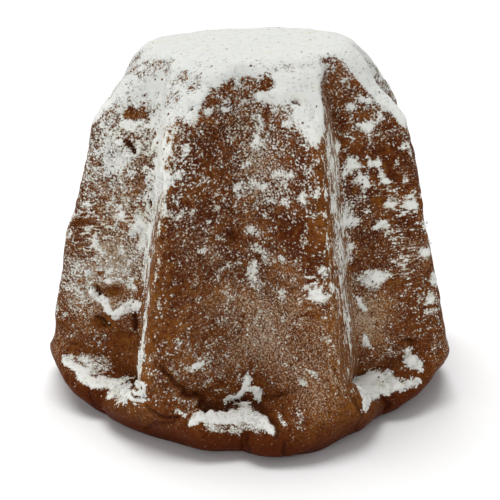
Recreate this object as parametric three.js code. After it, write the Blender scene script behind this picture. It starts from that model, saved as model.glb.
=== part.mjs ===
// Pandoro: a tall star-shaped sweet loaf, turned out of its mould and stood on its risen base.
// Millimetres, +Z up. The origin is the middle of the flat underside, and a valley faces -Y.
import * as THREE from 'three';

// The star-shaped body that the mould gives the loaf
const RIDGE_COUNT = 8;
const LOAF_HEIGHT = 165;
const WIDEST_RADIUS = 105;         // axis to a ridge, where the loaf is widest
const WIDEST_HEIGHT = 25.5;
const SHOULDER_RADIUS = 79.5;      // axis to a ridge, where the chamfer below the top starts
const SHOULDER_HEIGHT = 131.5;
const PLATEAU_RADIUS = 53;         // axis to a ridge, at the edge of the flat top
const VALLEY_RATIO = 0.715;        // radius in a valley over radius at a ridge
const CORNER_ROUNDING = 0.91;      // 1 would leave ridges and valleys sharp

// The lip of dough that rose out of the mould and fills the foot of each valley
const LIP_RADIUS = 95;             // its furthest reach in a valley
const LIP_HEIGHT = 9;              // the height of that furthest reach
const LEDGE_HEIGHT = 16.5;         // where the valley wall rises from the lip
const REST_RIDGE_RADIUS = 93;      // edge of the flat underside below a ridge
const REST_VALLEY_RADIUS = 88.5;   // and below a valley

// How finely each stretch of the side is divided
const FACETS_PER_RIDGE = 12;
const FOOT_STEPS = 4;
const LEDGE_STEPS = 4;
const WALL_STEPS = 8;
const SHOULDER_STEPS = 5;

const CRUST_COLOUR = 0x5e3216;
const CRUST_ROUGHNESS = 0.62;

const HALF_STEP = Math.PI / RIDGE_COUNT;
const RIDGE_TURN = Math.acos(CORNER_ROUNDING) / RIDGE_COUNT;
const VALLEY_TURN = HALF_STEP - RIDGE_TURN;
const { lerp, mapLinear } = THREE.MathUtils;

// The upper right quarter of an ellipse: 0 at share 0, 1 at share 1, steep at the start.
function quarterRound(share) {
  return Math.sqrt(1 - (1 - share) ** 2);
}

// The tapered ridge line of the wall, as it would be with no chamfer at the top.
function wallRidgeRadius(height) {
  return mapLinear(height, WIDEST_HEIGHT, SHOULDER_HEIGHT, WIDEST_RADIUS, SHOULDER_RADIUS);
}

// A ridge swells out from the floor to the widest place, then follows the wall.
function ridgeRadius(height) {
  if (height >= WIDEST_HEIGHT) {
    return wallRidgeRadius(height);
  }
  return lerp(REST_RIDGE_RADIUS, WIDEST_RADIUS, quarterRound(height / WIDEST_HEIGHT));
}

// A valley swells out to the edge of the lip, turns in over the ledge and follows the wall.
function valleyRadius(height) {
  const wall = VALLEY_RATIO * wallRidgeRadius(height);
  if (height >= LEDGE_HEIGHT) {
    return wall;
  }
  if (height <= LIP_HEIGHT) {
    return lerp(REST_VALLEY_RADIUS, LIP_RADIUS, quarterRound(height / LIP_HEIGHT));
  }
  const left = (LEDGE_HEIGHT - height) / (LEDGE_HEIGHT - LIP_HEIGHT);
  return lerp(wall, LIP_RADIUS, quarterRound(left));
}

// The cone that cuts the ridges off between the shoulder and the flat top.
function chamferRadius(height) {
  return mapLinear(height, SHOULDER_HEIGHT, LOAF_HEIGHT, SHOULDER_RADIUS, PLATEAU_RADIUS);
}

// Radius of the straight face between a ridge at radius 1 and the next valley,
// at an angle turned from the ridge: a line in polar form, given by its normal.
function faceRadius(turn) {
  const inward = 1 - VALLEY_RATIO * Math.cos(HALF_STEP);
  const sideways = VALLEY_RATIO * Math.sin(HALF_STEP);
  const normal = Math.atan2(inward, sideways);
  return Math.cos(normal) / Math.cos(turn - normal);
}

// 1 on a ridge and 0 in a valley, straight between. The angle from a valley is folded into
// one face by a triangle wave with rounded corners.
function ridgeShare(angle) {
  const wave = -CORNER_ROUNDING * Math.cos(RIDGE_COUNT * angle);
  const turn = Math.acos(wave) / RIDGE_COUNT;
  return mapLinear(faceRadius(turn), faceRadius(VALLEY_TURN), faceRadius(RIDGE_TURN), 0, 1);
}

function loafRadius(angle, height) {
  const star = lerp(valleyRadius(height), ridgeRadius(height), ridgeShare(angle));
  return Math.min(star, chamferRadius(height));
}

// The heights of the rings of facets, closer together where the side curves.
function ringHeights() {
  const heights = [];
  for (let step = 0; step < FOOT_STEPS; step += 1) {
    const share = 1 - Math.cos((step / FOOT_STEPS) * (Math.PI / 2));
    heights.push(LIP_HEIGHT * share);
  }
  for (let step = 0; step < LEDGE_STEPS; step += 1) {
    const share = Math.sin((step / LEDGE_STEPS) * (Math.PI / 2));
    heights.push(lerp(LIP_HEIGHT, LEDGE_HEIGHT, share));
  }
  heights.push(LEDGE_HEIGHT);
  for (let step = 0; step < WALL_STEPS; step += 1) {
    heights.push(lerp(WIDEST_HEIGHT, SHOULDER_HEIGHT, step / WALL_STEPS));
  }
  for (let step = 0; step <= SHOULDER_STEPS; step += 1) {
    heights.push(lerp(SHOULDER_HEIGHT, LOAF_HEIGHT, step / SHOULDER_STEPS));
  }
  return heights;
}

// A round turned body on the ridge line, whose rings are then drawn in to the star.
function loafGeometry() {
  const heights = ringHeights();
  const side = heights.map((height) => new THREE.Vector2(ridgeRadius(height), height));
  const profile = [new THREE.Vector2(0, 0), ...side, new THREE.Vector2(0, LOAF_HEIGHT)];
  const geometry = new THREE.LatheGeometry(profile, RIDGE_COUNT * FACETS_PER_RIDGE);
  const points = geometry.getAttribute('position');
  for (let index = 0; index < points.count; index += 1) {
    const across = points.getX(index);
    const height = points.getY(index);
    const along = points.getZ(index);
    const turned = Math.hypot(across, along);
    if (turned > 0) {
      const scale = loafRadius(Math.atan2(across, along), height) / turned;
      points.setXYZ(index, across * scale, height, along * scale);
    }
  }
  geometry.rotateX(Math.PI / 2);
  geometry.computeVertexNormals();
  return geometry;
}

function makeLoaf() {
  const crust = new THREE.MeshStandardMaterial({
    color: CRUST_COLOUR,
    roughness: CRUST_ROUGHNESS,
    metalness: 0,
  });
  const loaf = new THREE.Mesh(loafGeometry(), crust);
  loaf.name = 'pandoro_loaf';
  return loaf;
}

const pandoro = new THREE.Group();
pandoro.add(makeLoaf());

export default pandoro;
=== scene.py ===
# Pandoro: a star-shaped sweet loaf on its risen base, dusted with icing sugar.
# Metres, +Z up. The loaf stands on z = 0 and a valley of the star faces -Y.
import math

import bpy
import numpy as np
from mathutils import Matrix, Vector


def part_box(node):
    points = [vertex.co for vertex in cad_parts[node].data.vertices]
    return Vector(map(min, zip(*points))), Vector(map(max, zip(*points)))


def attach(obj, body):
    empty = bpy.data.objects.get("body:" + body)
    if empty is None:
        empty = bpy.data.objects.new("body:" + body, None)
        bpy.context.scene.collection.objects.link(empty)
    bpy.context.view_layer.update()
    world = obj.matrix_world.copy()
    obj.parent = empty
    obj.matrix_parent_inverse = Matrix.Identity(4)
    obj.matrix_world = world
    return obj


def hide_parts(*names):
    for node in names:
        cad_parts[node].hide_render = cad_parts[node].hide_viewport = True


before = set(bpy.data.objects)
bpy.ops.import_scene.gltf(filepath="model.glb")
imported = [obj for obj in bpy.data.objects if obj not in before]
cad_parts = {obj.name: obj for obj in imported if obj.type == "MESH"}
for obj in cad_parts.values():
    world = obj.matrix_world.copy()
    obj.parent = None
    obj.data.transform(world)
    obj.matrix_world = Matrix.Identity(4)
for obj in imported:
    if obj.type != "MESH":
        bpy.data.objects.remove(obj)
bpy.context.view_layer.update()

MM = 0.001
RIDGES = 8
HALF_STEP = math.pi / RIDGES

# The star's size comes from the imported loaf; the rest of its shape is in proportion to it.
# The plain star is a shade smaller than the loaf, because the crust's relief stands out from it.
PLAIN_SHARE = 0.997
LOAF_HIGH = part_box("pandoro_loaf")[1]
HEIGHT = float(LOAF_HIGH[2])
WIDEST = PLAIN_SHARE * float(LOAF_HIGH[0]) / math.cos(HALF_STEP)
WIDEST_HEIGHT = 0.155 * HEIGHT
SHOULDER = 0.757 * WIDEST
SHOULDER_HEIGHT = 0.797 * HEIGHT
PLATEAU = 0.505 * WIDEST
VALLEY_RATIO = 0.715               # radius in a valley over radius at a ridge
CORNER_ROUNDING = 0.91             # 1 would leave ridges and valleys sharp
WALL_BELLY = 0.4 * MM
CHAMFER_SAG = 1.0 * MM
CHAMFER_BLEND = 3 * MM             # how widely the wall rounds into the chamfer

# The front left ridge sits a little aside, and the star turns with it within this reach
RIDGE_SHIFT = math.radians(1.7)
RIDGE_SHIFT_REACH = math.radians(12.0)

# The flat top, which rises towards +X, and its rounded rim
TOP_TILT = 0.024
TOP_RISE = 1.0 * MM
RIM_ROUNDING = 9 * MM
RIM_INWARD = 0.55
RIM_DOWNWARD = 0.83

# The risen lip at the foot
LIP = 0.905 * WIDEST
LIP_HEIGHT = 9 * MM
LEDGE_HEIGHT = 16.5 * MM
REST = 0.878 * WIDEST              # edge of the flat underside below a ridge
REST_NOTCH = 3.5 * MM              # how much less it is below a valley
SWELL_FULL_HEIGHT = 6 * MM         # the foot's swells are whole up to here
SWELL_END_HEIGHT = 26 * MM         # and gone from here

# The crust's grid: columns around, closer together at the front, and rows for each stretch
# from the floor to the top's middle
COLUMNS = 496
FRONT_CROWDING = 0.42
UNDER_ROWS = 4
FOOT_ROWS = 14
LEDGE_ROWS = 28
WALL_ROWS = 88
SHOULDER_ROWS = 28
TOP_ROWS = 28

# Widths and depths of what is cut into the crust
CRACK_WIDTH = 0.7 * MM
FRONT_CRACK_DEPTH = 0.8 * MM
LIP_CRACK_DEPTHS = (0.5 * MM, 0.7 * MM, 0.9 * MM)
SLIT_WIDTH = 0.9 * MM
SLIT_DEPTH = 1.7 * MM
SEAM_DEPTH = 0.9 * MM
SEAM_ROWS = 1.3                    # half the seam's width, in rows of the grid
DEEP_HOLLOW = 1.6                  # millimetres; a hollow this deep counts as wholly hollow
SMALL_HOLLOWS = 260

# The icing sugar
RIM_SUGAR = 7 * MM                 # how far the cap hangs over the edge of the top
WALL_COVER = 0.225                 # how much of the walls it hides, half way up
WALL_COVER_RISE = 0.14             # and how much more at the top than at the floor
SUGAR_THICKNESS = 0.8 * MM
CLUSTERS = 420                     # of small lumps
BARE_SHARE = 0.85                  # how much sugar a hollow or a crack sheds

LATTICE = 48                       # random values along each side of the noise's lattice
HOLLOW_SEED = 7
LUMP_PLACE_SEED = 2024
LUMP_SHAPE_SEED = 5


# ---------------------------------------------------------------- noise and small helpers

def soft_noise(points, size, seed):
    """Smooth noise from -1 to 1. Random values sit on a cubic lattice whose cells have the given
    size, and the eight around a point are blended by the cubic 3t^2 - 2t^3 along each axis."""
    draw = np.random.default_rng(seed)
    table = draw.uniform(-1.0, 1.0, (LATTICE, LATTICE, LATTICE))
    place = points / np.asarray(size) + draw.uniform(0.0, LATTICE, 3)
    cell = np.floor(place).astype(int)
    share = place - cell
    share = share * share * (3.0 - 2.0 * share)
    total = np.zeros(points.shape[:-1])
    for corner in np.ndindex(2, 2, 2):
        weight = np.prod(np.where(corner, share, 1.0 - share), axis=-1)
        x, y, z = np.moveaxis((cell + corner) % LATTICE, -1, 0)
        total += weight * table[x, y, z]
    return total


def layered_noise(points, size, seed, layers=3):
    """A sum of soft noises, each layer with half the size and half the strength of the last."""
    total = np.zeros(points.shape[:-1])
    for layer in range(layers):
        total += soft_noise(points, np.asarray(size) / 2 ** layer, seed + layer) / 2 ** layer
    return total


def ramp(low, high, value):
    """0 below low, 1 above high, and the cubic 3t^2 - 2t^3 between."""
    share = np.clip((value - low) / (high - low), 0.0, 1.0)
    return share * share * (3.0 - 2.0 * share)


def blend(low, high, share):
    """The straight mix: low at share 0, high at share 1."""
    return low + (high - low) * share


def bell(value, reach, power=2):
    """1 at 0, falling away to either side as exp(-(value / reach)^power)."""
    return np.exp(-(value / reach) ** power)


def turn_from(angle, degrees):
    """The angle turned from a place around the loaf, folded to between -pi and pi."""
    return (angle - math.radians(degrees) + math.pi) % (2.0 * math.pi) - math.pi


def soft_least(first, second, width):
    """The lower of two values, rounded where they cross over about the given width."""
    middle = 0.5 * (first + second)
    return middle - 0.5 * np.sqrt((first - second) ** 2 + width ** 2)


# ---------------------------------------------------------------- the loaf's plain shape

def wall_ridge(height):
    """The tapered ridge line: straight from the widest place to the shoulder, and beyond, with
    half a sine wave of belly between."""
    share = (height - WIDEST_HEIGHT) / (SHOULDER_HEIGHT - WIDEST_HEIGHT)
    belly = np.sin(math.pi * np.clip(share, 0.0, 1.0))
    return blend(WIDEST, SHOULDER, share) + WALL_BELLY * belly


def chamfer(height):
    """The cone below the top that cuts the ridges' tips, from shoulder to plateau, with half a
    sine wave of sag between."""
    share = (height - SHOULDER_HEIGHT) / (HEIGHT - SHOULDER_HEIGHT)
    sag = np.sin(math.pi * np.clip(share, 0.0, 1.0))
    return blend(SHOULDER, PLATEAU, share) - CHAMFER_SAG * sag


def face_line(turn):
    """A straight face in polar form: its distance from the axis, over that of the ridge, at an
    angle turned from the ridge. It is cos(normal) / cos(turn - normal)."""
    inward = 1.0 - VALLEY_RATIO * math.cos(HALF_STEP)
    sideways = VALLEY_RATIO * math.sin(HALF_STEP)
    normal = math.atan2(inward, sideways)
    return math.cos(normal) / np.cos(turn - normal)


def star_angle(angle):
    """The angle in an even star that stands for an angle in this one, whose front left ridge has
    moved aside: the angle plus a bell around that ridge."""
    from_ridge = angle + HALF_STEP + RIDGE_SHIFT
    return angle + RIDGE_SHIFT * bell(from_ridge, RIDGE_SHIFT_REACH)


def ridge_share(angle):
    """1 on a ridge and 0 in a valley, along a straight face between. The angle from a valley is
    folded into one face by arccos(rounding * cos), a triangle wave with rounded corners."""
    turn = np.arccos(-CORNER_ROUNDING * np.cos(RIDGES * star_angle(angle))) / RIDGES
    first = math.acos(CORNER_ROUNDING) / RIDGES
    valley = face_line(HALF_STEP - first)
    return (face_line(turn) - valley) / (face_line(first) - valley)


def lobe_share(angle):
    """1 on a ridge and 0 in a valley, for the foot's round lobes and narrow notches: the square
    root of a sine."""
    return np.sqrt(np.abs(np.sin(0.5 * RIDGES * star_angle(angle))))


def foot_swell(angle):
    """How far the foot's outline stands out, from the soft spots of the lobes that rose most."""
    swell = np.zeros(angle.shape)
    for middle, reach, amount in FOOT_SWELLS:
        swell = swell + amount * MM * bell(turn_from(angle, middle), math.radians(reach))
    return swell


def side_rows():
    """The side from the floor to the plateau's edge, as rows. Each row has the radius and height
    of its point in a valley and of its point on a ridge, and the loaf's surface runs between.
    The foot and the lip's ledge are quarter ellipses, and the wall and shoulder are straight."""
    foot = np.linspace(0.0, math.pi / 2, FOOT_ROWS, endpoint=False)
    ledge = np.linspace(0.0, math.pi / 2, LEDGE_ROWS, endpoint=False)
    wall = np.linspace(0.0, 1.0, WALL_ROWS, endpoint=False)
    shoulder = np.linspace(0.0, 1.0, SHOULDER_ROWS)

    ledge_start = 0.7 * WIDEST_HEIGHT
    ledge_end = 1.35 * WIDEST_HEIGHT
    ridge_height = np.concatenate([
        ledge_start * (1.0 - np.cos(foot)),
        blend(ledge_start, ledge_end, ledge / (math.pi / 2)),
        blend(ledge_end, SHOULDER_HEIGHT, wall),
        blend(SHOULDER_HEIGHT, HEIGHT, shoulder),
    ])
    below = np.clip(1.0 - ridge_height / WIDEST_HEIGHT, 0.0, 1.0)
    ridge_radius = wall_ridge(np.maximum(ridge_height, WIDEST_HEIGHT))
    ridge_radius = ridge_radius - (WIDEST - REST) * below ** 2

    valley_height = np.concatenate([
        LIP_HEIGHT * (1.0 - np.cos(foot)),
        blend(LIP_HEIGHT, LEDGE_HEIGHT, np.sin(ledge)),
        blend(LEDGE_HEIGHT, SHOULDER_HEIGHT, wall),
        blend(SHOULDER_HEIGHT, HEIGHT, shoulder),
    ])
    valley_wall = VALLEY_RATIO * wall_ridge(valley_height)
    on_foot = slice(0, FOOT_ROWS)
    on_ledge = slice(FOOT_ROWS, FOOT_ROWS + LEDGE_ROWS)
    valley_radius = valley_wall.copy()
    valley_radius[on_foot] = blend(REST - REST_NOTCH, LIP, np.sin(foot) ** 1.3)
    valley_radius[on_ledge] = blend(valley_wall[on_ledge], LIP, np.cos(ledge))
    return valley_radius, valley_height, ridge_radius, ridge_height


def round_rim(radius, height, edge):
    """Rounds the edge of the flat top. Each point within reach of the edge moves in and down by
    the square of what is left of the reach, over four times the reach."""
    from_edge = np.hypot(np.minimum(radius - edge, 0.0) * (height >= HEIGHT), HEIGHT - height)
    left = np.maximum(RIM_ROUNDING - from_edge, 0.0)
    move = left ** 2 / (4.0 * RIM_ROUNDING)
    return radius - RIM_INWARD * move, height - RIM_DOWNWARD * move


def loaf_grid():
    """The loaf's whole surface as rows of points around the axis, from near the middle of the
    underside, up the side, to near the middle of the top. Returns the points, and for each
    point its angle from -Y towards +X, its share from valley to ridge, and how far the chamfer
    cuts in there. Even angles are drawn towards the front by taking off a part of their
    sine."""
    angle = 2.0 * math.pi * np.arange(COLUMNS) / COLUMNS - math.pi
    angle = angle - FRONT_CROWDING * np.sin(angle)
    share = ridge_share(angle)[None, :]
    valley_radius, valley_height, ridge_radius, ridge_height = (
        row[:, None] for row in side_rows())
    height = blend(valley_height, ridge_height, share)
    above_lip = ramp(FOOT_ROWS, FOOT_ROWS + LEDGE_ROWS, np.arange(len(height))[:, None])
    radius_share = blend(lobe_share(angle)[None, :], share, above_lip)
    radius = blend(valley_radius, ridge_radius, radius_share)
    fading = ramp(SWELL_FULL_HEIGHT, SWELL_END_HEIGHT, height)
    radius = radius + foot_swell(angle) * (1.0 - fading)
    cut = radius - chamfer(height)
    radius = soft_least(radius, chamfer(height), CHAMFER_BLEND)

    under = np.linspace(0.0, 1.0, UNDER_ROWS + 2)[1:-1, None]
    top = np.linspace(1.0, 0.0, TOP_ROWS + 2)[1:-1, None]
    under_rows = np.zeros((UNDER_ROWS, COLUMNS))
    top_rows = np.full((TOP_ROWS, COLUMNS), HEIGHT)
    edge = radius[-1:]
    radius = np.concatenate([under * radius[:1], radius, top * edge])
    cut = np.concatenate([under_rows + cut[:1], cut, top_rows])
    height = np.concatenate([under_rows, height, top_rows])
    radius, height = round_rim(radius, height, edge)
    angle = np.broadcast_to(angle, radius.shape)
    across = radius * np.sin(angle)
    height = height + (TOP_RISE + TOP_TILT * across) * (height / HEIGHT) ** 3
    points = np.stack([across, -radius * np.cos(angle), height], axis=-1)
    return points, angle, np.broadcast_to(share, radius.shape), cut


def grid_normals(points):
    """Unit normals of a grid that closes around its columns: the cross product of the step to
    the next column and the step to the next row, each taken across both neighbours."""
    around = np.roll(points, -1, axis=1) - np.roll(points, 1, axis=1)
    along = np.gradient(points, axis=0)
    normal = np.cross(around, along)
    return normal / np.maximum(np.linalg.norm(normal, axis=-1, keepdims=True), 1e-12)


# ---------------------------------------------------------------- places on the loaf

# A place on the side is given in degrees from the front valley towards +X, and millimetres up.
# Lengths are in millimetres. A negative amount lies further in, or takes sugar or dust away.

# Lobes of the foot that rose more or less than the rest: degrees, reach in degrees, amount
FOOT_SWELLS = [(-9, 8, 4.0), (5, 6, 5.2), (16, 10, 7.2), (30, 5, -1.5), (39, 4, -2.6),
               (45, 9, -3.2), (50, 4, 0.8), (64, 14, -5.5), (-72, 12, -2.5), (150, 20, 2.0)]
# Places where the whole wall stands out or lies in: place, reach across, reach up, amount
WALL_SWELLS = [(-67, 135, 30, 9, 1.7), (-67, 79, 30, 12, 1.5), (-65, 31, 30, 9, -1.7),
               (68, 90, 30, 14, -1.1), (74, 157, 32, 16, -3.6), (-74, 160, 25, 8, -1.2)]
# The crack where the risen lip tore from the wall, from a front ridge down across the valley
FRONT_CRACK = [(-21.5, 41), (-19, 33), (-17.5, 29.5), (-15, 25.5), (-11, 21.5),
               (-7.5, 19), (-5, 18)]
# Shorter cracks and folds in the lip
LIP_CRACKS = [
    [(-5, 18), (-2, 17), (0.5, 18), (3, 17), (6, 18), (9, 17.5), (8, 13.5)],
    [(-24, 23.5), (-22.5, 22), (-20, 20), (-16, 20)],
    [(-26, 8), (-24, 12.5), (-20, 17), (-17, 17.5)],
    [(-43, 17), (-37, 21), (-31, 26), (-29.5, 25), (-27, 25.5), (-24, 28)],
    [(1, 12), (2, 7), (1.5, 2)],
    [(10, 12), (9.5, 8), (10, 4)],
    [(31, 4), (29, 10), (30, 17), (27, 26)],
    [(-49, 3), (-47, 8), (-49, 13)],
    [(44, 3), (46, 8), (44, 12)],
    [(74, 20), (78, 12), (84, 14)],
    [(96, 30), (102, 20), (110, 16)],
    [(130, 4), (134, 10), (132, 15)],
    [(160, 30), (168, 20), (180, 15)],
    [(-92, 4), (-89, 9), (-91, 14)],
    [(-115, 28), (-122, 19), (-128, 15)],
    [(-150, 20), (-158, 22), (-165, 17)],
]
# Narrow slits in the crust, like short cracks
SLITS = [
    [(-56.5, 126), (-55, 124), (-53.5, 121.5)], [(-47.2, 46), (-46.6, 39)],
    [(-57, 43), (-55, 40)], [(-12, 21.5), (-10, 19.5)],
    [(-44.6, 106.5), (-44.4, 105.8)], [(-45, 100), (-44.8, 99)],
    [(58.5, 34), (60, 33)], [(-58, 57.5), (-57.5, 54)],
    [(100, 90), (103, 86)], [(146, 60), (150, 57)], [(-112, 76), (-109, 71)],
]
# Hollows in the crust: place, width and height of the mouth, depth
HOLLOWS = [
    (-54.5, 56, 8, 5, 2.2), (-55.5, 41, 7, 6, 2.4), (-50, 33, 9, 6, 1.2), (-60.5, 28, 5, 5, 1.0),
    (-55.3, 139.5, 5, 4, 0.7), (8.8, 156, 5, 4, 1.0), (-4.2, 92, 4, 5, 1.2), (19, 63, 10, 2, 0.8),
    (57, 100, 6, 3, 1.2), (57, 61, 4, 3, 1.2), (-64, 88, 7, 3, 1.0), (-12, 50, 9, 3, 0.6),
    (84, 120, 6, 3, 1.8), (101, 70, 8, 5, 1.6), (142, 96, 6, 3, 1.6), (163, 48, 9, 6, 2.0),
    (-98, 110, 7, 3, 2.0), (-121, 60, 8, 6, 1.8), (-144, 128, 6, 3, 1.6), (-168, 84, 6, 5, 1.4),
]
# Icing sugar that lies thicker or thinner than around it: place, reach across, reach up, amount
SUGAR_PATCHES = [
    # On the left wall
    (-48, 152, 13, 9, 0.45), (-60, 146, 6, 8, 0.25), (-55.5, 139.5, 3.6, 4, -0.4),
    (-55.5, 134, 3.2, 2.1, 0.5), (-33, 134, 10, 30, 0.36), (-56, 126, 17, 24, 0.16),
    (-26, 122, 6, 20, 0.2), (-59, 116, 7, 6, 0.15), (-50.5, 116, 4, 5, -0.3),
    (-42, 112, 4, 30, 0.3), (-51, 110, 5, 2.5, -0.3), (-49.5, 105, 4, 3, -0.25),
    (-46, 84, 4, 8, 0.3), (-24, 84, 5, 40, -0.06), (-53, 66, 8, 4, 0.18), (-64, 56, 6, 14, 0.14),
    (-54.5, 56, 4, 2.5, -0.6), (-56, 52, 16, 28, 0.09), (-55.5, 41, 4, 3, -0.6),
    (-50, 34, 6, 6, -0.2),
    # On the front wall
    (8, 152.5, 5, 2.2, 0.4), (13, 152.5, 3.2, 4.2, 0.5), (17, 146, 3, 5, 0.3),
    (0, 140, 14, 14, 0.07), (6, 138, 3, 6, -0.12), (7, 132.5, 2.5, 3, 0.18),
    (-12, 130, 8, 12, -0.1), (12.5, 120, 4.5, 2.5, 0.3), (5.5, 114, 5, 2, 0.3),
    (9, 108, 3, 2, 0.3), (18, 97, 4, 6, -0.25), (3, 94, 5, 2.5, 0.35), (-4, 92, 3, 3, -0.3),
    (6, 84, 6, 4, 0.28), (3, 75, 3, 5, 0.42), (19, 72.5, 5.5, 4.5, 0.22), (21, 71, 2.6, 2.4, 0.4),
    (20, 63.5, 4, 0.8, 0.5), (4, 52, 18, 22, 0.04), (12, 38, 1.8, 1.4, 0.35),
    (-14, 37, 3.2, 1.1, 0.5), (18, 37, 2.4, 1.8, 0.5), (16, 32, 1.8, 1.8, 0.5),
    # On the right wall
    (56.5, 146, 2.4, 1.5, 0.5), (52, 143, 1.9, 1.7, 0.5), (62, 140, 6, 10, 0.15),
    (56, 134, 2.6, 1.7, 0.7), (43.5, 126, 2.2, 2.5, 0.7), (64, 123.5, 2.2, 1.4, 0.5),
    (54.5, 120, 1.2, 1.8, 0.5), (58, 118, 20, 36, -0.11), (49.5, 117.5, 2.4, 3.4, 0.8),
    (57, 117.5, 2.1, 2.2, 0.7), (46.5, 113, 1.6, 2.5, 0.5), (57.5, 113, 1.6, 1.6, 0.5),
    (52, 110, 2.1, 2.2, 0.7), (58, 109, 1.6, 1.7, 0.6), (59.5, 109, 1.4, 1.4, 0.5),
    (54, 107.5, 2.1, 1.7, 0.7), (55, 101, 12, 4.5, 0.2), (59, 98.5, 1.8, 1.9, 0.7),
    (64, 97, 2.2, 1.6, 0.55), (46.5, 94, 3, 6, 0.3), (39.5, 92, 2, 3, 0.4),
    (44.5, 91.5, 2.4, 2, 0.5), (56, 89.5, 1.9, 2.2, 0.7), (67, 88, 2, 3, 0.45),
    (33, 84, 9, 55, 0.25), (44, 77, 4, 5, 0.3), (66, 75, 2, 3, 0.5), (53, 64, 5.2, 3.8, 0.6),
    (67, 62, 2, 3, 0.5), (57, 61, 2.5, 2, -0.6), (64.5, 52, 2, 3, 0.45), (50, 45, 9, 9, -0.08),
    (55, 15.5, 2, 2.1, 0.6),
    # Behind
    (-82, 154, 14, 14, 0.5), (84, 154, 18, 18, 0.6), (150, 118, 18, 30, 0.16),
    (-150, 110, 14, 24, 0.1), (90, 100, 16, 36, 0.1), (-100, 96, 16, 30, 0.14),
    (-128, 62, 9, 12, 0.36), (112, 60, 12, 12, 0.3), (172, 60, 10, 10, 0.34),
    (-170, 44, 10, 8, 0.3),
]
# Sugar lying along a line: its places, reach to either side, amount
SUGAR_STROKES = [
    ([(-59, 56), (-56.5, 50), (-52.5, 44), (-49.5, 49), (-46, 52)], 2.2, 0.9),
    ([(-57, 60.5), (-53, 61.5), (-48.5, 60)], 1.8, 0.6),
    ([(-47.5, 114), (-46.5, 95), (-45, 78), (-43.5, 60)], 2.6, 0.55),
    ([(-39, 76), (-34, 60), (-31.5, 50), (-29.5, 42), (-29, 34), (-28, 29)], 2.4, 0.6),
    ([(-27.5, 68), (-27.5, 58), (-27.5, 46), (-27, 38), (-27.5, 31)], 3.5, 0.6),
    ([(-33.5, 56), (-31.5, 43), (-31, 34)], 2.2, 0.5),
    ([(31, 60), (33.5, 44), (33, 36)], 1.5, 0.55), ([(30, 95), (29.5, 70)], 2.4, 0.42),
    ([(-58, 44), (-55, 37)], 1.0, 0.5),
    ([(47, 56), (48.5, 50)], 2.0, 0.7),
    ([(47.5, 37), (48.5, 32)], 1.8, 0.6),
]
# Places at the edge of the top where the sugar is worn thin or has fallen away
WORN_EDGES = [(8.8, 156, 3.4, 2.6, 0.6), (49, 164, 5, 4, 0.9), (138, 158, 6, 5, 0.9),
              (-2, 155, 6, 4, 0.6), (18, 163, 7, 3.5, 0.36), (-12, 154, 9, 4, 0.34),
              (-52, 158, 10, 5, 0.34), (-57, 149, 8, 7, 0.34), (-46, 163, 12, 5, 0.26),
              (-24, 140, 4, 10, 0.34), (15, 147, 3, 3, 0.3), (40, 168, 5, 3, 0.3)]
# Drifts caught on the lip's ledge, given like the strokes
LEDGE_DRIFTS = [
    # In the left valley
    ([(-61, 22.5), (-56, 19.5), (-53, 17), (-48.5, 15.5), (-43.5, 15.5)], 1.4, 0.8),
    ([(-44, 15.5), (-40, 17), (-37.5, 19), (-33.5, 21.5), (-29, 24.5), (-24.5, 27)], 2.1, 0.85),
    ([(-41, 15.5), (-35.5, 18.5), (-31, 21)], 1.5, 0.55),
    ([(-57.5, 24.5), (-55.5, 22), (-52.5, 19.5)], 2.4, 0.5), ([(-60.5, 25), (-60, 24)], 1.6, 0.6),
    ([(-28, 28.5), (-25, 31), (-24.5, 29)], 1.1, 0.8),
    # In the front valley
    ([(-12.5, 17.5), (-11, 18.5), (-8, 17.5), (-4.5, 16.5), (-0.5, 15.5)], 1.6, 1.0),
    ([(-0.5, 15.5), (3, 16), (5, 16.5), (7, 15.5)], 1.6, 1.0),
    ([(-9, 16), (-6.5, 14.5), (-2, 13), (2, 13.5), (4.5, 14.5)], 1.7, 0.47),
    ([(0.5, 27), (-1, 22.5), (-3, 19), (-5.5, 18.5)], 1.9, 1.0),
    ([(1.5, 22.5), (4, 21), (3, 18.5)], 1.9, 0.9),
    ([(-19, 30), (-16.5, 25), (-13, 22), (-11, 20.5)], 1.4, 0.36),
    ([(-16.5, 21.5), (-14, 20)], 0.8, 0.5), ([(14.5, 21.5), (14, 18)], 2.6, 0.36),
    ([(10, 18.5), (10.5, 18)], 1.0, 0.5),
    # In the right valley
    ([(50, 17), (48, 16.5), (45.5, 15.5), (38.5, 17.5), (32.5, 21), (31.5, 19.5)], 2.0, 1.0),
    ([(48.5, 19), (46, 17), (38, 19), (33, 22)], 1.9, 0.95),
    ([(51.5, 19), (49, 19)], 1.8, 0.6), ([(54.5, 17.5), (51.5, 16)], 1.6, 0.6),
    ([(59, 27.5), (58.5, 24.5), (57, 21)], 1.9, 0.85),
    # Behind
    ([(76, 19), (83, 16.5), (91, 16.5), (96, 17)], 2.0, 0.7), ([(90, 26), (91, 21)], 2.2, 0.7),
    ([(84, 15), (91, 15)], 2.4, 0.45), ([(99, 18), (104, 21)], 1.6, 0.6),
    ([(123, 18), (131, 16), (139, 16.5)], 2.4, 0.5), ([(136, 15), (142, 15.5)], 2.4, 0.42),
    ([(166, 18.5), (172, 17.5)], 1.8, 0.6), ([(175, 16.5), (184, 16), (189, 17)], 2.0, 0.75),
    ([(182, 15), (188, 14.5)], 2.6, 0.45), ([(-147, 18), (-139, 16.5), (-134, 16)], 2.0, 0.55),
    ([(-134, 25), (-134.5, 20)], 2.0, 0.5), ([(-128, 18), (-123, 21)], 1.8, 0.55),
    ([(-104, 19), (-96, 17), (-89, 16)], 2.2, 0.8), ([(-84, 17), (-77, 20)], 1.8, 0.6),
    ([(-93, 15), (-87, 15)], 2.6, 0.45),
]
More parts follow.
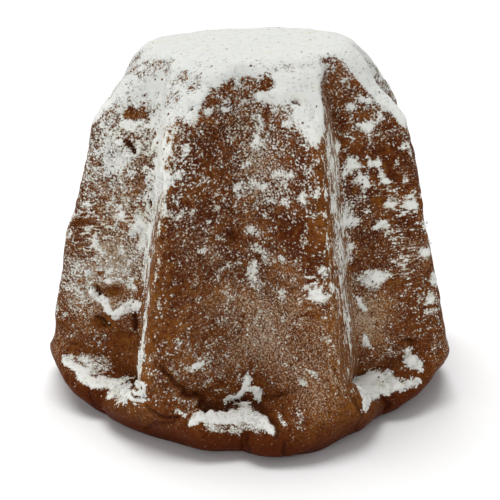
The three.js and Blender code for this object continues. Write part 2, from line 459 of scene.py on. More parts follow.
# Fine dust that greys the crust: place, reach across, reach up, amount
DUST_PATCHES = [
    (2, 122, 8, 22, 0.30), (0, 60, 26, 34, 0.2), (-54, 60, 14, 30, 0.25),
    (-56, 115, 14, 30, 0.3), (31, 80, 8, 60, -0.45),
    (8, 48, 12, 16, 0.22), (-4, 34, 8, 8, 0.25), (50, 45, 12, 14, 0.30),
    (-50, 70, 8, 5, 0.20), (-10, 96, 10, 14, -0.25), (-52, 38, 10, 14, -0.3),
    (18, 92, 8, 16, -0.25), (58, 120, 22, 30, -0.25), (110, 80, 14, 24, 0.3),
    (-110, 40, 14, 16, 0.3), (166, 100, 16, 20, 0.3),
]
# Where the crust is wrinkled level, and the sugar lies in the wrinkles
WRINKLED = [(19.5, 76, 5, 18), (61, 86, 8, 40), (-62, 84, 10, 14), (-52, 92, 8, 8),
            (120, 90, 12, 30)]


def side_distance(points, angle, turn, height):
    """How far each point lies around the loaf and up from a place on the side, in metres. On the
    flat top, the way in from the edge counts as up."""
    radius = np.hypot(points[..., 0], points[..., 1])
    inward = np.maximum(VALLEY_RATIO * wall_ridge(HEIGHT) - radius, 0.0)
    return radius * turn_from(angle, turn), points[..., 2] + inward - height * MM


def patch(points, angle, spot, power=2.0, wander=(0.0, 0.0)):
    """A soft spot around a place: exp(-(distance over reach)^power), with its own reach across
    and up. The wander moves the points across and up first, so that its edge isn't even."""
    turn, height, reach_across, reach_up = spot
    aside, above = side_distance(points, angle, turn, height)
    across = (aside + wander[0]) / (reach_across * MM)
    upward = (above + wander[1]) / (reach_up * MM)
    return np.exp(-(across ** 2 + upward ** 2) ** (power / 2.0))


def line_distance(points, angle, marks, wander):
    """The distance of each point from a broken line through the places, along the side. The
    wander moves the points across and up first, so that the line isn't straight."""
    radius = np.hypot(points[..., 0], points[..., 1])
    nearest = np.full(angle.shape, np.inf)
    for start, end in zip(marks[:-1], marks[1:]):
        aside, above = side_distance(points, angle, *start)
        aside = aside + wander[0]
        above = above + wander[1]
        run = radius * math.radians(end[0] - start[0])
        rise = (end[1] - start[1]) * MM
        share = np.clip((aside * run + above * rise) / (run ** 2 + rise ** 2), 0.0, 1.0)
        nearest = np.minimum(nearest, np.hypot(aside - share * run, above - share * rise))
    return nearest


def line_patch(points, angle, marks, reach, wander):
    """A soft band along a broken line: exp(-(distance over reach)^3)."""
    return bell(line_distance(points, angle, marks, wander), reach * MM, 3)


def wandering(points, amount, size, seeds):
    """How far the points are pushed aside and up, by layered noise of an amount and a size in
    millimetres."""
    return [amount * MM * layered_noise(points, size * MM, seed, 2) for seed in seeds]


# ---------------------------------------------------------------- the baked crust

def groove(distance, width, depth):
    """A crack's cut and its swollen edges: a narrow bell going in, less a wider one beside it."""
    cut = bell(distance, width)
    edge = bell(distance - 2.0 * width, 1.3 * width)
    return depth * (0.3 * edge - cut)


def uneven_crust(points):
    """The crust's unevenness, as a sum of noises: a slow warp, lumps, flat wrinkles that run
    around, puffs in the foot, and fine grain. The top is smoother than the walls."""
    height = points[..., 2]
    foot = 1.0 - ramp(12 * MM, 34 * MM, height)
    top = ramp(HEIGHT - 2 * MM, HEIGHT - 0.2 * MM, height)
    warp = layered_noise(points, 75 * MM, seed=11, layers=2)
    lumps = layered_noise(points, 20 * MM, seed=21) * (1.0 - 0.6 * top)
    wrinkles = layered_noise(points, (13 * MM, 13 * MM, 4 * MM), seed=31, layers=2) * (1.0 - top)
    puffs = layered_noise(points, (26 * MM, 26 * MM, 18 * MM), seed=41) * foot
    grain = soft_noise(points, 3.2 * MM, seed=51)
    return MM * (1.3 * warp + 0.55 * lumps + 0.30 * wrinkles + 1.2 * puffs + 0.16 * grain)


def all_hollows():
    """The named hollows, then small ones drawn at random all round, in the same form."""
    draw = np.random.default_rng(HOLLOW_SEED)
    small = [(draw.uniform(-180, 180), draw.uniform(24, 150), draw.uniform(1.5, 3.5),
              draw.uniform(1.2, 2.4), draw.uniform(0.3, 1.1)) for _ in range(SMALL_HOLLOWS)]
    return HOLLOWS + small


def hollow_relief(points, angle):
    """How far the crust lies in at its hollows, and from 0 to 1 how far each point is in one."""
    depth = np.zeros(angle.shape)
    hollow = np.zeros(angle.shape)
    uneven = wandering(points, 0.8, 3.6, seeds=(201, 211))
    for turn, height, wide, tall, deep in all_hollows():
        dent = patch(points, angle, (turn, height, wide / 2, tall / 2), 2.6, uneven)
        depth = depth + deep * MM * dent
        hollow = np.maximum(hollow, dent * min(1.0, deep / DEEP_HOLLOW))
    return depth, hollow


def crack_relief(points, angle):
    """How far the crust stands out beside its cracks, less how far it lies in along them, and
    from 0 to 1 how far each point is in one. The lip's cracks take three depths in turn."""
    broad = wandering(points, 0.7, 9.0, seeds=(61, 71))
    fine = wandering(points, 0.5, 2.6, seeds=(221, 231))
    wander = [slow + quick for slow, quick in zip(broad, fine)]
    front = line_distance(points, angle, FRONT_CRACK, wander)
    relief = groove(front, CRACK_WIDTH, FRONT_CRACK_DEPTH)
    crack = 0.9 * bell(front, CRACK_WIDTH)
    for number, marks in enumerate(LIP_CRACKS):
        distance = line_distance(points, angle, marks, wander)
        depth = LIP_CRACK_DEPTHS[number % len(LIP_CRACK_DEPTHS)]
        relief = relief + groove(distance, CRACK_WIDTH, depth)
        crack = np.maximum(crack, 0.8 * bell(distance, CRACK_WIDTH))
    for marks in SLITS:
        distance = line_distance(points, angle, marks, wander)
        relief = relief + groove(distance, SLIT_WIDTH, SLIT_DEPTH)
        crack = np.maximum(crack, bell(distance, SLIT_WIDTH, 4))
    return relief, crack


def ledge_seam(points, share):
    """The seam where the lip meets the wall, from 0 to 1: a bell across the rows there, in the
    valleys only, uneven along its way."""
    row = np.arange(points.shape[0])[:, None] - (UNDER_ROWS + FOOT_ROWS + LEDGE_ROWS)
    seam = bell(row, SEAM_ROWS) * (1.0 - ramp(0.35, 0.8, share))
    return seam * (0.3 + 0.7 * ramp(-0.3, 0.3, soft_noise(points, 14 * MM, seed=81)))


def crust_relief(points, angle, share):
    """How far the crust stands out from the plain shape, and from 0 to 1 how far each point lies
    in a hollow, and in a crack. The relief is the uneven crust and the walls' swells, less the
    hollows, with the cracks and the seam above the lip, and it fades out at the floor."""
    relief = uneven_crust(points)
    for *spot, amount in WALL_SWELLS:
        relief = relief + amount * MM * patch(points, angle, spot)
    depth, hollow = hollow_relief(points, angle)
    grooves, crack = crack_relief(points, angle)
    seam = ledge_seam(points, share)
    relief = relief - depth + grooves - SEAM_DEPTH * seam
    # The seam joins the cracks: it sheds sugar, and the finish paints it dark as painted shade in
    # the crease
    crack = np.maximum(crack, 0.45 * seam)
    off_floor = ramp(0.0, 5 * MM, points[..., 2])
    return relief * off_floor, hollow * off_floor, crack * off_floor


# ---------------------------------------------------------------- where the sugar lies

def cap_cover(points, normal, angle, cut, crumble):
    """The sugar on the flat top, over its rim and on the chamfer, with a ragged edge. Noise wears
    it thin, more on the chamfer and most on the chamfer's left, and so do the named places."""
    height = points[..., 2]
    ragged = layered_noise(points, 8 * MM, seed=121)
    reach = np.maximum(cut, height - (HEIGHT - RIM_SUGAR))
    cap = ramp(-3.5 * MM, 4.5 * MM, reach + 2.0 * MM * ragged)
    on_slope = 1.0 - ramp(0.75, 0.95, normal[..., 2])
    left = ramp(math.radians(5.0), math.radians(30.0), -angle)
    worn = ramp(-0.5, 0.6, layered_noise(points, 11 * MM, seed=131, layers=2))
    cap = cap * (1.0 - (0.12 + on_slope * blend(0.12, 0.34, left)) * worn)
    for *spot, amount in WORN_EDGES:
        cap = cap - amount * patch(points, angle, spot, 2.0, crumble)
    return cap


def wall_cover(points, angle, share, crumble, wander):
    """The sugar on the walls: a dusting that thickens with height, slow noise, clumps that are
    fuller higher up, the named patches and strokes, and a little more in the wrinkled places. It
    fades out just above the lip."""
    height = points[..., 2]
    wall = WALL_COVER + WALL_COVER_RISE * (height / HEIGHT - 0.5)
    wall = wall + 0.08 * layered_noise(points, 30 * MM, seed=91, layers=2)
    clumps = ramp(0.35, 0.80, layered_noise(points, 4.2 * MM, seed=141, layers=2))
    wall = wall + clumps * (0.12 + 0.16 * ramp(40 * MM, 95 * MM, height))
    for *spot, amount in SUGAR_PATCHES:
        wall = wall + amount * patch(points, angle, spot, 2.0, crumble)
    for marks, reach, amount in SUGAR_STROKES:
        wall = np.maximum(wall, amount * line_patch(points, angle, marks, reach, wander))
    for spot in WRINKLED:
        wall = wall + 0.05 * patch(points, angle, spot)
    return wall * ramp(14 * MM, 32 * MM, height + 5 * MM * (1.0 - share))


def ledge_cover(points, normal, angle, wander):
    """The drifts on the lip's ledge, where it faces up. Where the ledge is level, the wander up is
    cut to a quarter, because a small move up there is a long way across the ledge."""
    facing_up = np.clip(normal[..., 2], 0.0, 1.0)
    settled = (wander[0], wander[1] * blend(1.0, 0.25, facing_up))
    ledge = np.zeros(angle.shape)
    for marks, reach, amount in LEDGE_DRIFTS:
        ledge = np.maximum(ledge, amount * line_patch(points, angle, marks, reach, settled))
    return ledge * ramp(-0.3, 0.2, normal[..., 2])


def sugar_cover(points, normal, angle, share, cut, bare):
    """How much of the crust the icing sugar hides, from 0 to 1: the most of what lies on the top,
    the walls and the ledge, less the bare hollows and cracks. Fine noise moves the edges of the
    patches, and broad and fine noise those of the strokes and drifts."""
    crumble = wandering(points, 1.1, 3.6, seeds=(181, 191))
    broad = wandering(points, 1.5, 9.0, seeds=(151, 161))
    wander = [slow + quick for slow, quick in zip(broad, crumble)]
    cover = wall_cover(points, angle, share, crumble, wander)
    cover = np.maximum(cover, ledge_cover(points, normal, angle, wander))
    cover = np.maximum(cover, cap_cover(points, normal, angle, cut, crumble))
    return np.clip(cover - BARE_SHARE * bare, 0.0, 1.0)


def dust_cover(points, angle):
    """How far fine dust greys the crust, from 0 to 1: slow noise and the named patches, a little
    more on the ridges' outer faces, fading out at the foot."""
    height = points[..., 2]
    dust = 0.45 + 0.30 * layered_noise(points, 24 * MM, seed=171, layers=2)
    dust = dust + 0.05 * ridge_band(angle, height)
    for *spot, amount in DUST_PATCHES:
        dust = dust + amount * patch(points, angle, spot)
    return np.clip(dust, 0.0, 1.0) * ramp(4 * MM, 32 * MM, height)


def grain_run(points, angle):
    """Which way the sugar's grain runs: 1 upright on the ridges' outer faces, -1 level in the
    wrinkled places, 0 neither."""
    level = np.zeros(angle.shape)
    for spot in WRINKLED:
        level = np.maximum(level, patch(points, angle, spot))
    return ridge_band(angle, points[..., 2]) - level


def ridge_band(angle, height):
    """1 on the outer faces of the ridges, where the mould wiped the crust into upright streaks,
    and 0 elsewhere."""
    turn = np.abs(star_angle(angle)) * RIDGES / (2.0 * math.pi)
    face = ramp(0.42, 0.52, turn) * (1.0 - ramp(0.96, 1.02, turn))
    return face * (1.0 - ramp(0.80 * HEIGHT, 0.92 * HEIGHT, height))


# ---------------------------------------------------------------- meshes

def mesh_object(name, vertices, quads, triangles, attributes):
    """An object with smooth faces and one number per vertex in each attribute."""
    mesh = bpy.data.meshes.new(name)
    corners = np.concatenate([np.ravel(quads), np.ravel(triangles)]).astype(np.int32)
    sizes = np.concatenate([np.full(len(quads), 4), np.full(len(triangles), 3)])
    starts = np.concatenate([[0], np.cumsum(sizes)[:-1]]).astype(np.int32)
    mesh.vertices.add(len(vertices))
    mesh.vertices.foreach_set("co", np.ravel(vertices).astype(np.float32))
    mesh.loops.add(len(corners))
    mesh.loops.foreach_set("vertex_index", corners)
    mesh.polygons.add(len(sizes))
    mesh.polygons.foreach_set("loop_start", starts)
    mesh.update(calc_edges=True)
    mesh.validate()
    mesh.shade_smooth()
    for label, values in attributes.items():
        layer = mesh.attributes.new(label, "FLOAT", "POINT")
        layer.data.foreach_set("value", np.ravel(values).astype(np.float32))
    piece = bpy.data.objects.new(name, mesh)
    bpy.context.scene.collection.objects.link(piece)
    return piece


def closed_grid_object(name, points, attributes):
    """A closed mesh from rows of points around an axis: quads between the rows, and a fan of
    triangles to a middle point at either end."""
    rows, columns = points.shape[:2]
    index = np.arange(rows * columns).reshape(rows, columns)
    following = np.roll(index, -1, axis=1)
    quads = np.stack([index[:-1], following[:-1], following[1:], index[1:]], axis=-1)
    first, last = rows * columns, rows * columns + 1
    low_fan = np.stack([np.full(columns, first), following[0], index[0]], axis=-1)
    high_fan = np.stack([np.full(columns, last), index[-1], following[-1]], axis=-1)
    vertices = np.concatenate([
        points.reshape(-1, 3), points[:1].mean(axis=1), points[-1:].mean(axis=1)])
    values = {
        label: np.concatenate([np.ravel(grid), [grid[0].mean(), grid[-1].mean()]])
        for label, grid in attributes.items()
    }
    return mesh_object(
        name, vertices, quads.reshape(-1, 4), np.concatenate([low_fan, high_fan]), values)


def make_crust():
    """The whole loaf: the plain star moved out along its normals by the crust's relief, and by
    the sugar's own thickness where it lies thick."""
    plain, angle, share, cut = loaf_grid()
    normal = grid_normals(plain)
    relief, hollow, crack = crust_relief(plain, angle, share)
    bare = np.maximum(hollow, crack)
    cover = sugar_cover(plain, normal, angle, share, cut, bare)
    thick = ramp(0.42, 0.95, cover) * ramp(0.0, 6 * MM, plain[..., 2])
    dimples = 0.5 * layered_noise(plain, 9 * MM, seed=101)
    relief = relief + thick * SUGAR_THICKNESS * (1.0 + dimples)
    points = plain + normal * relief[..., None]
    points[..., 2] = np.maximum(points[..., 2], 0.0)
    points[:UNDER_ROWS, :, 2] = 0.0
    piece = closed_grid_object("pandoro_crust", points, {
        "sugar": cover,
        "dust": dust_cover(plain, angle) * (1.0 - bare),
        "hollow": hollow,
        # The cracks shed sugar and dust, and the finish paints them dark as painted shade
        "crack": crack,
        "run": grain_run(plain, angle),
    })
    return piece, points, grid_normals(points), angle, cover


# ---------------------------------------------------------------- icing sugar lumps

def icosahedron():
    """The twelve corners and twenty faces of an icosahedron of radius 1, from the golden
    ratio."""
    golden = (1.0 + math.sqrt(5.0)) / 2.0
    corners = np.array([
        (-1, golden, 0), (1, golden, 0), (-1, -golden, 0), (1, -golden, 0),
        (0, -1, golden), (0, 1, golden), (0, -1, -golden), (0, 1, -golden),
        (golden, 0, -1), (golden, 0, 1), (-golden, 0, -1), (-golden, 0, 1),
    ]) / math.hypot(1.0, golden)
    faces = np.array([
        (0, 11, 5), (0, 5, 1), (0, 1, 7), (0, 7, 10), (0, 10, 11),
        (1, 5, 9), (5, 11, 4), (11, 10, 2), (10, 7, 6), (7, 1, 8),
        (3, 9, 4), (3, 4, 2), (3, 2, 6), (3, 6, 8), (3, 8, 9),
        (4, 9, 5), (2, 4, 11), (6, 2, 10), (8, 6, 7), (9, 8, 1),
    ])
    return corners, faces


def random_turns(draw, count):
    """Random rotation matrices, from unit quaternions with normally drawn parts."""
    q = draw.normal(size=(count, 4))
    w, x, y, z = (q / np.linalg.norm(q, axis=1, keepdims=True)).T
    rows = [
        [1 - 2 * (y * y + z * z), 2 * (x * y - z * w), 2 * (x * z + y * w)],
        [2 * (x * y + z * w), 1 - 2 * (x * x + z * z), 2 * (y * z - x * w)],
        [2 * (x * z - y * w), 2 * (y * z + x * w), 1 - 2 * (x * x + y * y)],
    ]
    return np.moveaxis(np.array(rows), -1, 0)


def scatter_lumps(name, centres, normals, sizes, seed):
    """Small sugar lumps: an icosahedron at each centre, its corners pushed in and out at random,
    turned at random, then flattened along the crust's normal and sunk a little into it."""
    draw = np.random.default_rng(seed)
    corners, faces = icosahedron()
    count = len(centres)
    uneven = draw.uniform(0.7, 1.25, (count, len(corners), 1))
    shape = np.einsum("nij,nkj->nki", random_turns(draw, count), corners * uneven)
    along = np.einsum("nki,ni->nk", shape, normals)
    shape = shape - 0.3 * along[..., None] * normals[:, None, :]
    vertices = centres[:, None, :] + shape * sizes[:, None, None]
    index = faces[None] + len(corners) * np.arange(count)[:, None, None]
    return mesh_object(
        name, vertices.reshape(-1, 3), np.zeros((0, 4), int), index.reshape(-1, 3), {})


def choose_places(draw, weight, count):
    """Grid places drawn at random, each as likely as its weight."""
    chance = np.ravel(weight) / weight.sum()
    return draw.choice(chance.size, count, p=chance)


def make_lumps(points, normal, angle, cover):
    """Clusters of two to eleven sugar lumps on the walls and along the drifts. A cluster's middle
    is drawn by area and by cover, then its lumps spread around it, mostly along the crust."""
    draw = np.random.default_rng(LUMP_PLACE_SEED)
    around = np.linalg.norm(np.roll(points, -1, axis=1) - points, axis=-1)
    along = np.linalg.norm(np.gradient(points, axis=0), axis=-1)
    height = points[..., 2]
    on_wall = ramp(6 * MM, 14 * MM, height) * (1.0 - ramp(0.70 * HEIGHT, 0.78 * HEIGHT, height))
    patchy = ramp(-0.1, 0.6, layered_noise(points, 16 * MM, seed=111, layers=2))
    weight = around * along * on_wall * ramp(0.3, 0.7, cover) * (0.15 + patchy)

    flat_points = points.reshape(-1, 3)
    flat_normal = normal.reshape(-1, 3)
    middle = choose_places(draw, weight, CLUSTERS)
    members = draw.integers(2, 12, CLUSTERS)
    owner = np.repeat(np.arange(CLUSTERS), members)
    reach = draw.uniform(0.5, 1.5, CLUSTERS)[owner] * MM
    spread = draw.normal(size=(len(owner), 3)) * reach[:, None]
    out = flat_normal[middle][owner]
    spread = spread - 0.8 * np.einsum("ni,ni->n", spread, out)[:, None] * out
    centres = flat_points[middle][owner] + spread + 0.15 * MM * out
    sizes = draw.uniform(0.25, 0.75, len(owner)) * MM
    return scatter_lumps("icing_sugar_lumps", centres, out, sizes, LUMP_SHAPE_SEED)


# ---------------------------------------------------------------- finishes

class Finish:
    """Builds one material. A node's inputs may be numbers, colours or other nodes' sockets."""

    def __init__(self, name):
        self.material = bpy.data.materials.new(name)
        self.material.use_nodes = True
        self.tree = self.material.node_tree
        self.shader = self.tree.nodes["Principled BSDF"]
        self.place = self.add("ShaderNodeTexCoord", {}).outputs["Object"]
        self.height = self.add("ShaderNodeSeparateXYZ", {0: self.place}).outputs["Z"]

    def add(self, kind, inputs, **settings):
        """A new node, with its settings made and its inputs connected."""
        node = self.tree.nodes.new(kind)
        for label, value in settings.items():
            setattr(node, label, value)
        for label, value in inputs.items():
            self.connect(value, node.inputs[label])
        return node

    def connect(self, value, socket):
        """Links another node's socket, or sets a plain value."""
        if isinstance(value, bpy.types.NodeSocket):
            self.tree.links.new(value, socket)
        else:
            socket.default_value = value

    def attribute(self, name):
        """The number that the mesh holds under this name at each vertex."""
        return self.add("ShaderNodeAttribute", {}, attribute_name=name).outputs["Fac"]

    def stretched(self, scale):
        """The object's own place, scaled differently along each axis."""
        node = self.add("ShaderNodeMapping", {"Vector": self.place, "Scale": scale})
        return node.outputs["Vector"]

    def noise(self, scale, detail=2.0, rough=0.5, twist=0.0, place=None):
        """Layered noise around 0.5, with a number of waves to the metre."""
        node = self.add("ShaderNodeTexNoise", {
            "Vector": place or self.place, "Scale": scale, "Detail": detail,
            "Roughness": rough, "Distortion": twist})
        return node.outputs["Fac"]

    def cells(self, scale):
        """Distance to the nearest point of a random scatter, 0 at the points."""
        node = self.add("ShaderNodeTexVoronoi", {"Vector": self.place, "Scale": scale})
        return node.outputs["Distance"]

    def ramp(self, value, low, high, start=0.0, end=1.0):
        """From start to end as the value goes from low to high, eased at both ends."""
        node = self.add("ShaderNodeMapRange", {
            "Value": value, "From Min": low, "From Max": high,
            "To Min": start, "To Max": end}, interpolation_type="SMOOTHSTEP")
        return node.outputs["Result"]

    def sum(self, first, second, first_share=1.0, second_share=1.0):
        """first * first_share + second * second_share."""
        scaled = self.add("ShaderNodeMath", {0: first, 1: first_share}, operation="MULTIPLY")
        node = self.add("ShaderNodeMath", {
            0: second, 1: second_share, 2: scaled.outputs[0]}, operation="MULTIPLY_ADD")
        return node.outputs[0]

    def product(self, first, second):
        return self.add("ShaderNodeMath", {0: first, 1: second}, operation="MULTIPLY").outputs[0]

    def distance(self, first, second):
        """How far apart two values are."""
        apart = self.add("ShaderNodeMath", {0: first, 1: second}, operation="SUBTRACT")
        return self.add("ShaderNodeMath", {0: apart.outputs[0]}, operation="ABSOLUTE").outputs[0]

    def mix(self, share, first, second):
        """One colour laid over another, as strongly as the share."""
        node = self.add("ShaderNodeMix", {0: share, 6: first, 7: second}, data_type="RGBA")
        return node.outputs[2]

    def mix_value(self, share, first, second):
        return self.add("ShaderNodeMix", {0: share, 2: first, 3: second}).outputs[0]

    def bump(self, height, distance, strength=1.0, before=None):
        """A normal tilted by a height, on top of the tilt of an earlier bump."""
        node = self.add("ShaderNodeBump", {
            "Height": height, "Distance": distance, "Strength": strength})
        if before:
            self.connect(before, node.inputs["Normal"])
        return node.outputs["Normal"]

    def set(self, **values):
        """Sets the shader's own sockets, whose spaces are written as underscores."""
        for label, value in values.items():
            self.connect(value, self.shader.inputs[label.replace("_", " ")])


def grey(value):
    """A colour with the same amount of red, green and blue."""
    return (value, value, value, 1.0)


# Baked crust, darkest to palest; the darkest is painted shade for pores, low spots and cracks
CRUST_PORE_SHADE = (0.022, 0.005, 0.002, 1.0)
CRUST_DARK = (0.067, 0.0120, 0.0024, 1.0)
CRUST_BROWN = (0.152, 0.0415, 0.0072, 1.0)
CRUST_AMBER = (0.270, 0.105, 0.018, 1.0)
# Icing sugar: on the top, on the walls, where it lies thin, as dust, and slightly yellow
SUGAR_TOP = (0.735, 0.745, 0.715, 1.0)
# Brighter than the top's white: painted light that evens out the shade on the walls and in the
# drifts
SUGAR_WALL_PAINTED_LIGHT = (0.865, 0.87, 0.825, 1.0)
SUGAR_THIN = (0.67, 0.605, 0.485, 1.0)
SUGAR_DUST = (0.53, 0.41, 0.285, 1.0)
SUGAR_YELLOW = (0.70, 0.69, 0.50, 1.0)
# The levels of the sugar's pattern where it starts to show, and where it hides the crust
SUGAR_SHOWS = 0.600
SUGAR_HIDES = 0.662


def crust_colour(f, run, middling, fine, pores):
    """Baked brown in slow dark and light places. It is redder and lighter down the wall, amber on
    the ridges, in the hollows and in its grain. Towards the foot it is darker, partly its own
    darker bake and partly painted shade where the lip curves under. Painted shade makes its pores,
    low spots, cracks and the lip's seam darkest."""
    slow = f.noise(55.0, 3.0, 0.55)
    grit = f.noise(380.0, 4.0, 0.72)
    hollow = f.attribute("hollow")
    crack = f.attribute("crack")
    brown = f.mix(f.ramp(f.sum(slow, middling, 0.5, 0.5), 0.42, 0.62), CRUST_DARK, CRUST_BROWN)
    brown = f.mix(f.ramp(f.height, 100 * MM, 45 * MM, 0.0, 0.55), brown, CRUST_BROWN)
    brown = f.mix(f.ramp(run, 0.0, 1.0, 0.0, 0.36), brown, CRUST_AMBER)
    amber = f.product(f.ramp(slow, 0.56, 0.74), f.ramp(f.height, 105 * MM, 60 * MM, 0.25, 0.6))
    brown = f.mix(amber, brown, CRUST_AMBER)
    brown = f.mix(f.ramp(fine, 0.50, 0.78, 0.0, 0.30), brown, CRUST_AMBER)
    brown = f.mix(f.product(hollow, f.ramp(middling, 0.40, 0.65, 0.0, 0.7)), brown, CRUST_AMBER)
    # Painted shade in the pores, where the bump dents the crust
    in_pore = f.product(f.ramp(pores, 0.34, 0.12), f.ramp(fine, 0.35, 0.6))
    brown = f.mix(f.product(in_pore, 0.8), brown, CRUST_PORE_SHADE)
    # Painted shade in low spots, where the fine noise that also lowers the bump is low
    brown = f.mix(f.ramp(fine, 0.42, 0.28, 0.0, 0.7), brown, CRUST_PORE_SHADE)
    brown = f.mix(f.ramp(grit, 0.50, 0.34, 0.0, 0.7), brown, CRUST_DARK)
    brown = f.mix(f.ramp(grit, 0.52, 0.68, 0.0, 0.45), brown, CRUST_AMBER)
    # Darker towards the floor: partly the foot's own darker bake, partly painted shade where the
    # lip curves under
    brown = f.mix(f.ramp(f.height, 26 * MM, 6 * MM, 0.0, 0.95), brown, CRUST_DARK)
    # Painted shade in the cracks, the slits and the lip's seam
    return f.mix(f.product(crack, 0.9), brown, CRUST_PORE_SHADE)


def sugar_grain(f, run):
    """The sugar's own noise, of about a millimetre and finer lower down. It is drawn out upright
    or level where the crust's grain runs so."""
    grain = f.noise(1.0, 3.0, 0.70, 0.2, f.stretched((900.0, 900.0, 1150.0)))
    finer = f.noise(1.0, 3.0, 0.70, 0.2, f.stretched((1350.0, 1350.0, 1600.0)))
    upright = f.noise(1.0, 3.0, 0.66, 0.3, f.stretched((420.0, 420.0, 110.0)))
    level_grain = f.noise(1.0, 3.0, 0.6, 0.2, f.stretched((230.0, 230.0, 1000.0)))
    grain = f.mix_value(f.ramp(f.height, 115 * MM, 70 * MM, 0.0, 0.4), grain, finer)
    grain = f.mix_value(f.ramp(run, 0.0, 1.0, 0.0, 0.8), grain, upright)
    return f.mix_value(f.ramp(run, 0.0, -1.0, 0.0, 0.8), grain, level_grain)


def sugar_level(f, grain, middling):
    """How high the sugar's pattern stands: its grain, slow clusters, threads where a coarser
    noise passes its middle value, and round granules, all raised by the cover and pierced by
    pinholes. The sugar shows where this is high enough."""
    threads = f.ramp(f.distance(f.noise(420.0, 2.0, 0.5), 0.5), 0.10, 0.0)
    granules = f.ramp(f.cells(620.0), 0.42, 0.12)
    clusters = f.noise(210.0, 2.0, 0.5)
    marks = f.sum(threads, granules, 0.45, 1.0)
    pattern = f.sum(f.sum(grain, clusters, 0.62, 0.26), marks, 1.0, 0.10)
    level = f.sum(pattern, f.attribute("sugar"), 1.0, 0.42)
    pinholes = f.product(f.ramp(f.cells(220.0), 0.17, 0.07), f.ramp(middling, 0.44, 0.56))
    return f.sum(level, pinholes, 1.0, -0.4)


def dusted_colour(f, brown, grain):
    """The crust under fine dust: specks of a finer noise, the grain and small cells, denser
    where the dust lies thicker."""
    specks = f.sum(f.noise(1300.0, 2.0, 0.7), grain, 0.6, 0.4)
    specks = f.sum(specks, f.attribute("dust"), 1.0, 0.22)
    specks = f.sum(specks, f.ramp(f.cells(1100.0), 0.42, 0.12), 1.0, 0.10)
    return f.mix(f.ramp(specks, 0.62, 0.79, 0.0, 0.88), brown, SUGAR_DUST)


def sugar_colour(f, level, middling):
    """Sugar that is warm where it is thin and white where it is thick, a little yellow in slow
    places, and peppered with dust. Below the top its thick white is brighter, painted light that
    evens out the shade on the walls and in the drifts."""
    # Thick sugar below the top turns brighter: painted light for the walls and drifts, which lie
    # in more shade than the top
    thick = f.mix(f.ramp(f.height, 154 * MM, 128 * MM), SUGAR_TOP, SUGAR_WALL_PAINTED_LIGHT)
    white = f.mix(f.ramp(level, 0.62, 0.71), SUGAR_THIN, thick)
    white = f.mix(f.ramp(f.noise(60.0, 2.0), 0.60, 0.72, 0.0, 0.3), white, SUGAR_YELLOW)
    pepper = f.product(f.ramp(f.noise(1100.0, 2.0, 0.6), 0.58, 0.72), f.ramp(middling, 0.42, 0.62))
    return f.mix(f.product(pepper, 0.45), white, SUGAR_DUST)


def crust_finish():
    """Brown crust with pores and wrinkles, greyed by fine dust, under icing sugar. The sugar
    shows where its level passes a threshold, and it has a powdery bump of its own."""
    f = Finish("baked_crust_with_icing_sugar")
    run = f.attribute("run")
    middling = f.noise(170.0, 3.0, 0.6)
    fine = f.noise(700.0, 3.0, 0.65)
    pores = f.cells(430.0)
    grain = sugar_grain(f, run)
    level = sugar_level(f, grain, middling)
    sugar = f.ramp(level, SUGAR_SHOWS, SUGAR_HIDES)

    brown = crust_colour(f, run, middling, fine, pores)
    colour = f.mix(sugar, dusted_colour(f, brown, grain), sugar_colour(f, level, middling))
    rough = f.mix_value(sugar, f.ramp(middling, 0.3, 0.7, 0.42, 0.62), 0.92)

    wrinkle = f.noise(1.0, 3.0, 0.6, 0.4, f.stretched((150.0, 150.0, 420.0)))
    crust_height = f.sum(f.sum(wrinkle, fine, 0.6, 0.4), f.ramp(pores, 0.0, 0.4), 1.0, 0.7)
    crust_normal = f.bump(crust_height, 0.75 * MM, 0.9)
    powder = f.sum(sugar, f.noise(1300.0, 3.0, 0.7), 0.75, 0.45)
    powder = f.product(powder, f.ramp(level, 0.60, 0.72))
    normal = f.bump(powder, 0.5 * MM, 0.8, crust_normal)
    f.set(Base_Color=colour, Roughness=rough, Normal=normal, Specular_IOR_Level=0.03)
    return f.material


def sugar_finish():
    """Icing sugar in lumps: off-white, greyer in some places and slightly warmer in others, with a
    powdery bump. Its white is the walls' brighter white, painted light that evens out their shade.
    """
    f = Finish("icing_sugar")
    tint = f.ramp(f.noise(80.0, 2.0), 0.55, 0.72, 0.0, 0.5)
    # Random grey places in the lumps' white, which is the walls' brighter white, painted light
    shade = f.mix(f.ramp(f.noise(900.0, 3.0, 0.6), 0.35, 0.6), grey(0.72), SUGAR_WALL_PAINTED_LIGHT)
    powder = f.bump(f.noise(1800.0, 3.0, 0.7), 0.4 * MM, 0.8)
    f.set(Base_Color=f.mix(tint, shade, SUGAR_YELLOW), Roughness=0.92, Normal=powder,
          Specular_IOR_Level=0.2)
    return f.material


# ---------------------------------------------------------------- studio

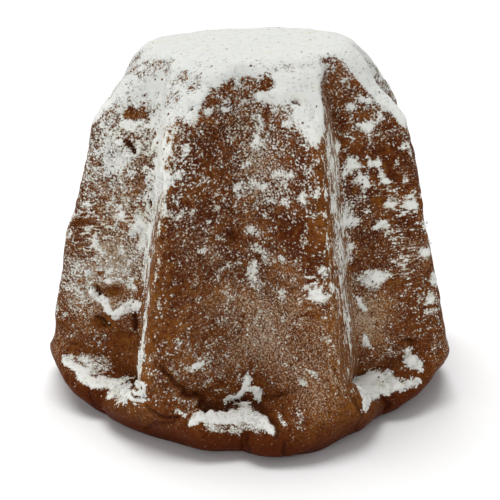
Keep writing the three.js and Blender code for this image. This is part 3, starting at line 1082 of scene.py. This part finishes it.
def make_floor():
    """A pale matt floor that reaches far past the view on every side."""
    reach = 60.0
    mesh = bpy.data.meshes.new("studio_floor")
    mesh.from_pydata(
        [(-reach, -reach, 0.0), (reach, -reach, 0.0), (reach, reach, 0.0), (-reach, reach, 0.0)],
        [], [(0, 1, 2, 3)])
    floor = bpy.data.objects.new("studio_floor", mesh)
    bpy.context.scene.collection.objects.link(floor)
    f = Finish("pale_floor")
    f.set(Base_Color=grey(1.0), Roughness=0.9, Specular_IOR_Level=0.0)
    mesh.materials.append(f.material)


def add_light(name, kind, place, target, **settings):
    """A light at a place, turned to face a target."""
    light = bpy.data.lights.new(name, kind)
    for label, value in settings.items():
        setattr(light, label, value)
    holder = bpy.data.objects.new(name, light)
    holder.location = place
    aim = np.array(target) - np.array(place)
    flat = math.hypot(aim[0], aim[1])
    holder.rotation_euler = (math.atan2(flat, -aim[2]), 0.0, math.atan2(-aim[0], aim[1]))
    bpy.context.scene.collection.objects.link(holder)


def make_light():
    """An even pale surround, a wide soft light from above, a little left and behind, and a low
    soft fill from the front left."""
    world = bpy.data.worlds.new("studio")
    bpy.context.scene.world = world
    world.use_nodes = True
    background = world.node_tree.nodes["Background"]
    background.inputs["Color"].default_value = grey(1.0)
    background.inputs["Strength"].default_value = 0.37
    add_light("overhead", "SUN", (-0.24, 0.41, 1.8), (0.0, 0.0, 0.0),
              energy=2.33, angle=math.radians(48.0))
    add_light("fill", "AREA", (-0.50, -1.7, 0.60), (0.0, 0.0, 0.08),
              energy=6.5, shape="SQUARE", size=1.2)
    bpy.context.scene.view_settings.view_transform = "Standard"


def make_camera():
    """A long lens a little right of the front, looking down on the loaf."""
    distance = 4.95 * WIDEST
    height = 2.355 * WIDEST
    azimuth = math.radians(1.7)
    pitch = math.radians(19.66)
    camera = bpy.data.cameras.new("camera")
    camera.sensor_width = 36.0
    camera.lens = 78.3
    camera.clip_start = 0.02
    holder = bpy.data.objects.new("camera", camera)
    holder.location = (distance * math.sin(azimuth), -distance * math.cos(azimuth), height)
    holder.rotation_euler = (math.pi / 2 - pitch, 0.0, azimuth)
    bpy.context.scene.collection.objects.link(holder)
    bpy.context.scene.camera = holder


make_camera()
make_floor()
make_light()

crust, crust_points, crust_normal, crust_angle, crust_cover = make_crust()
crust.data.materials.append(crust_finish())
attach(crust, "root")
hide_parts("pandoro_loaf")

lumps = make_lumps(crust_points, crust_normal, crust_angle, crust_cover)
lumps.data.materials.append(sugar_finish())
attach(lumps, "root")
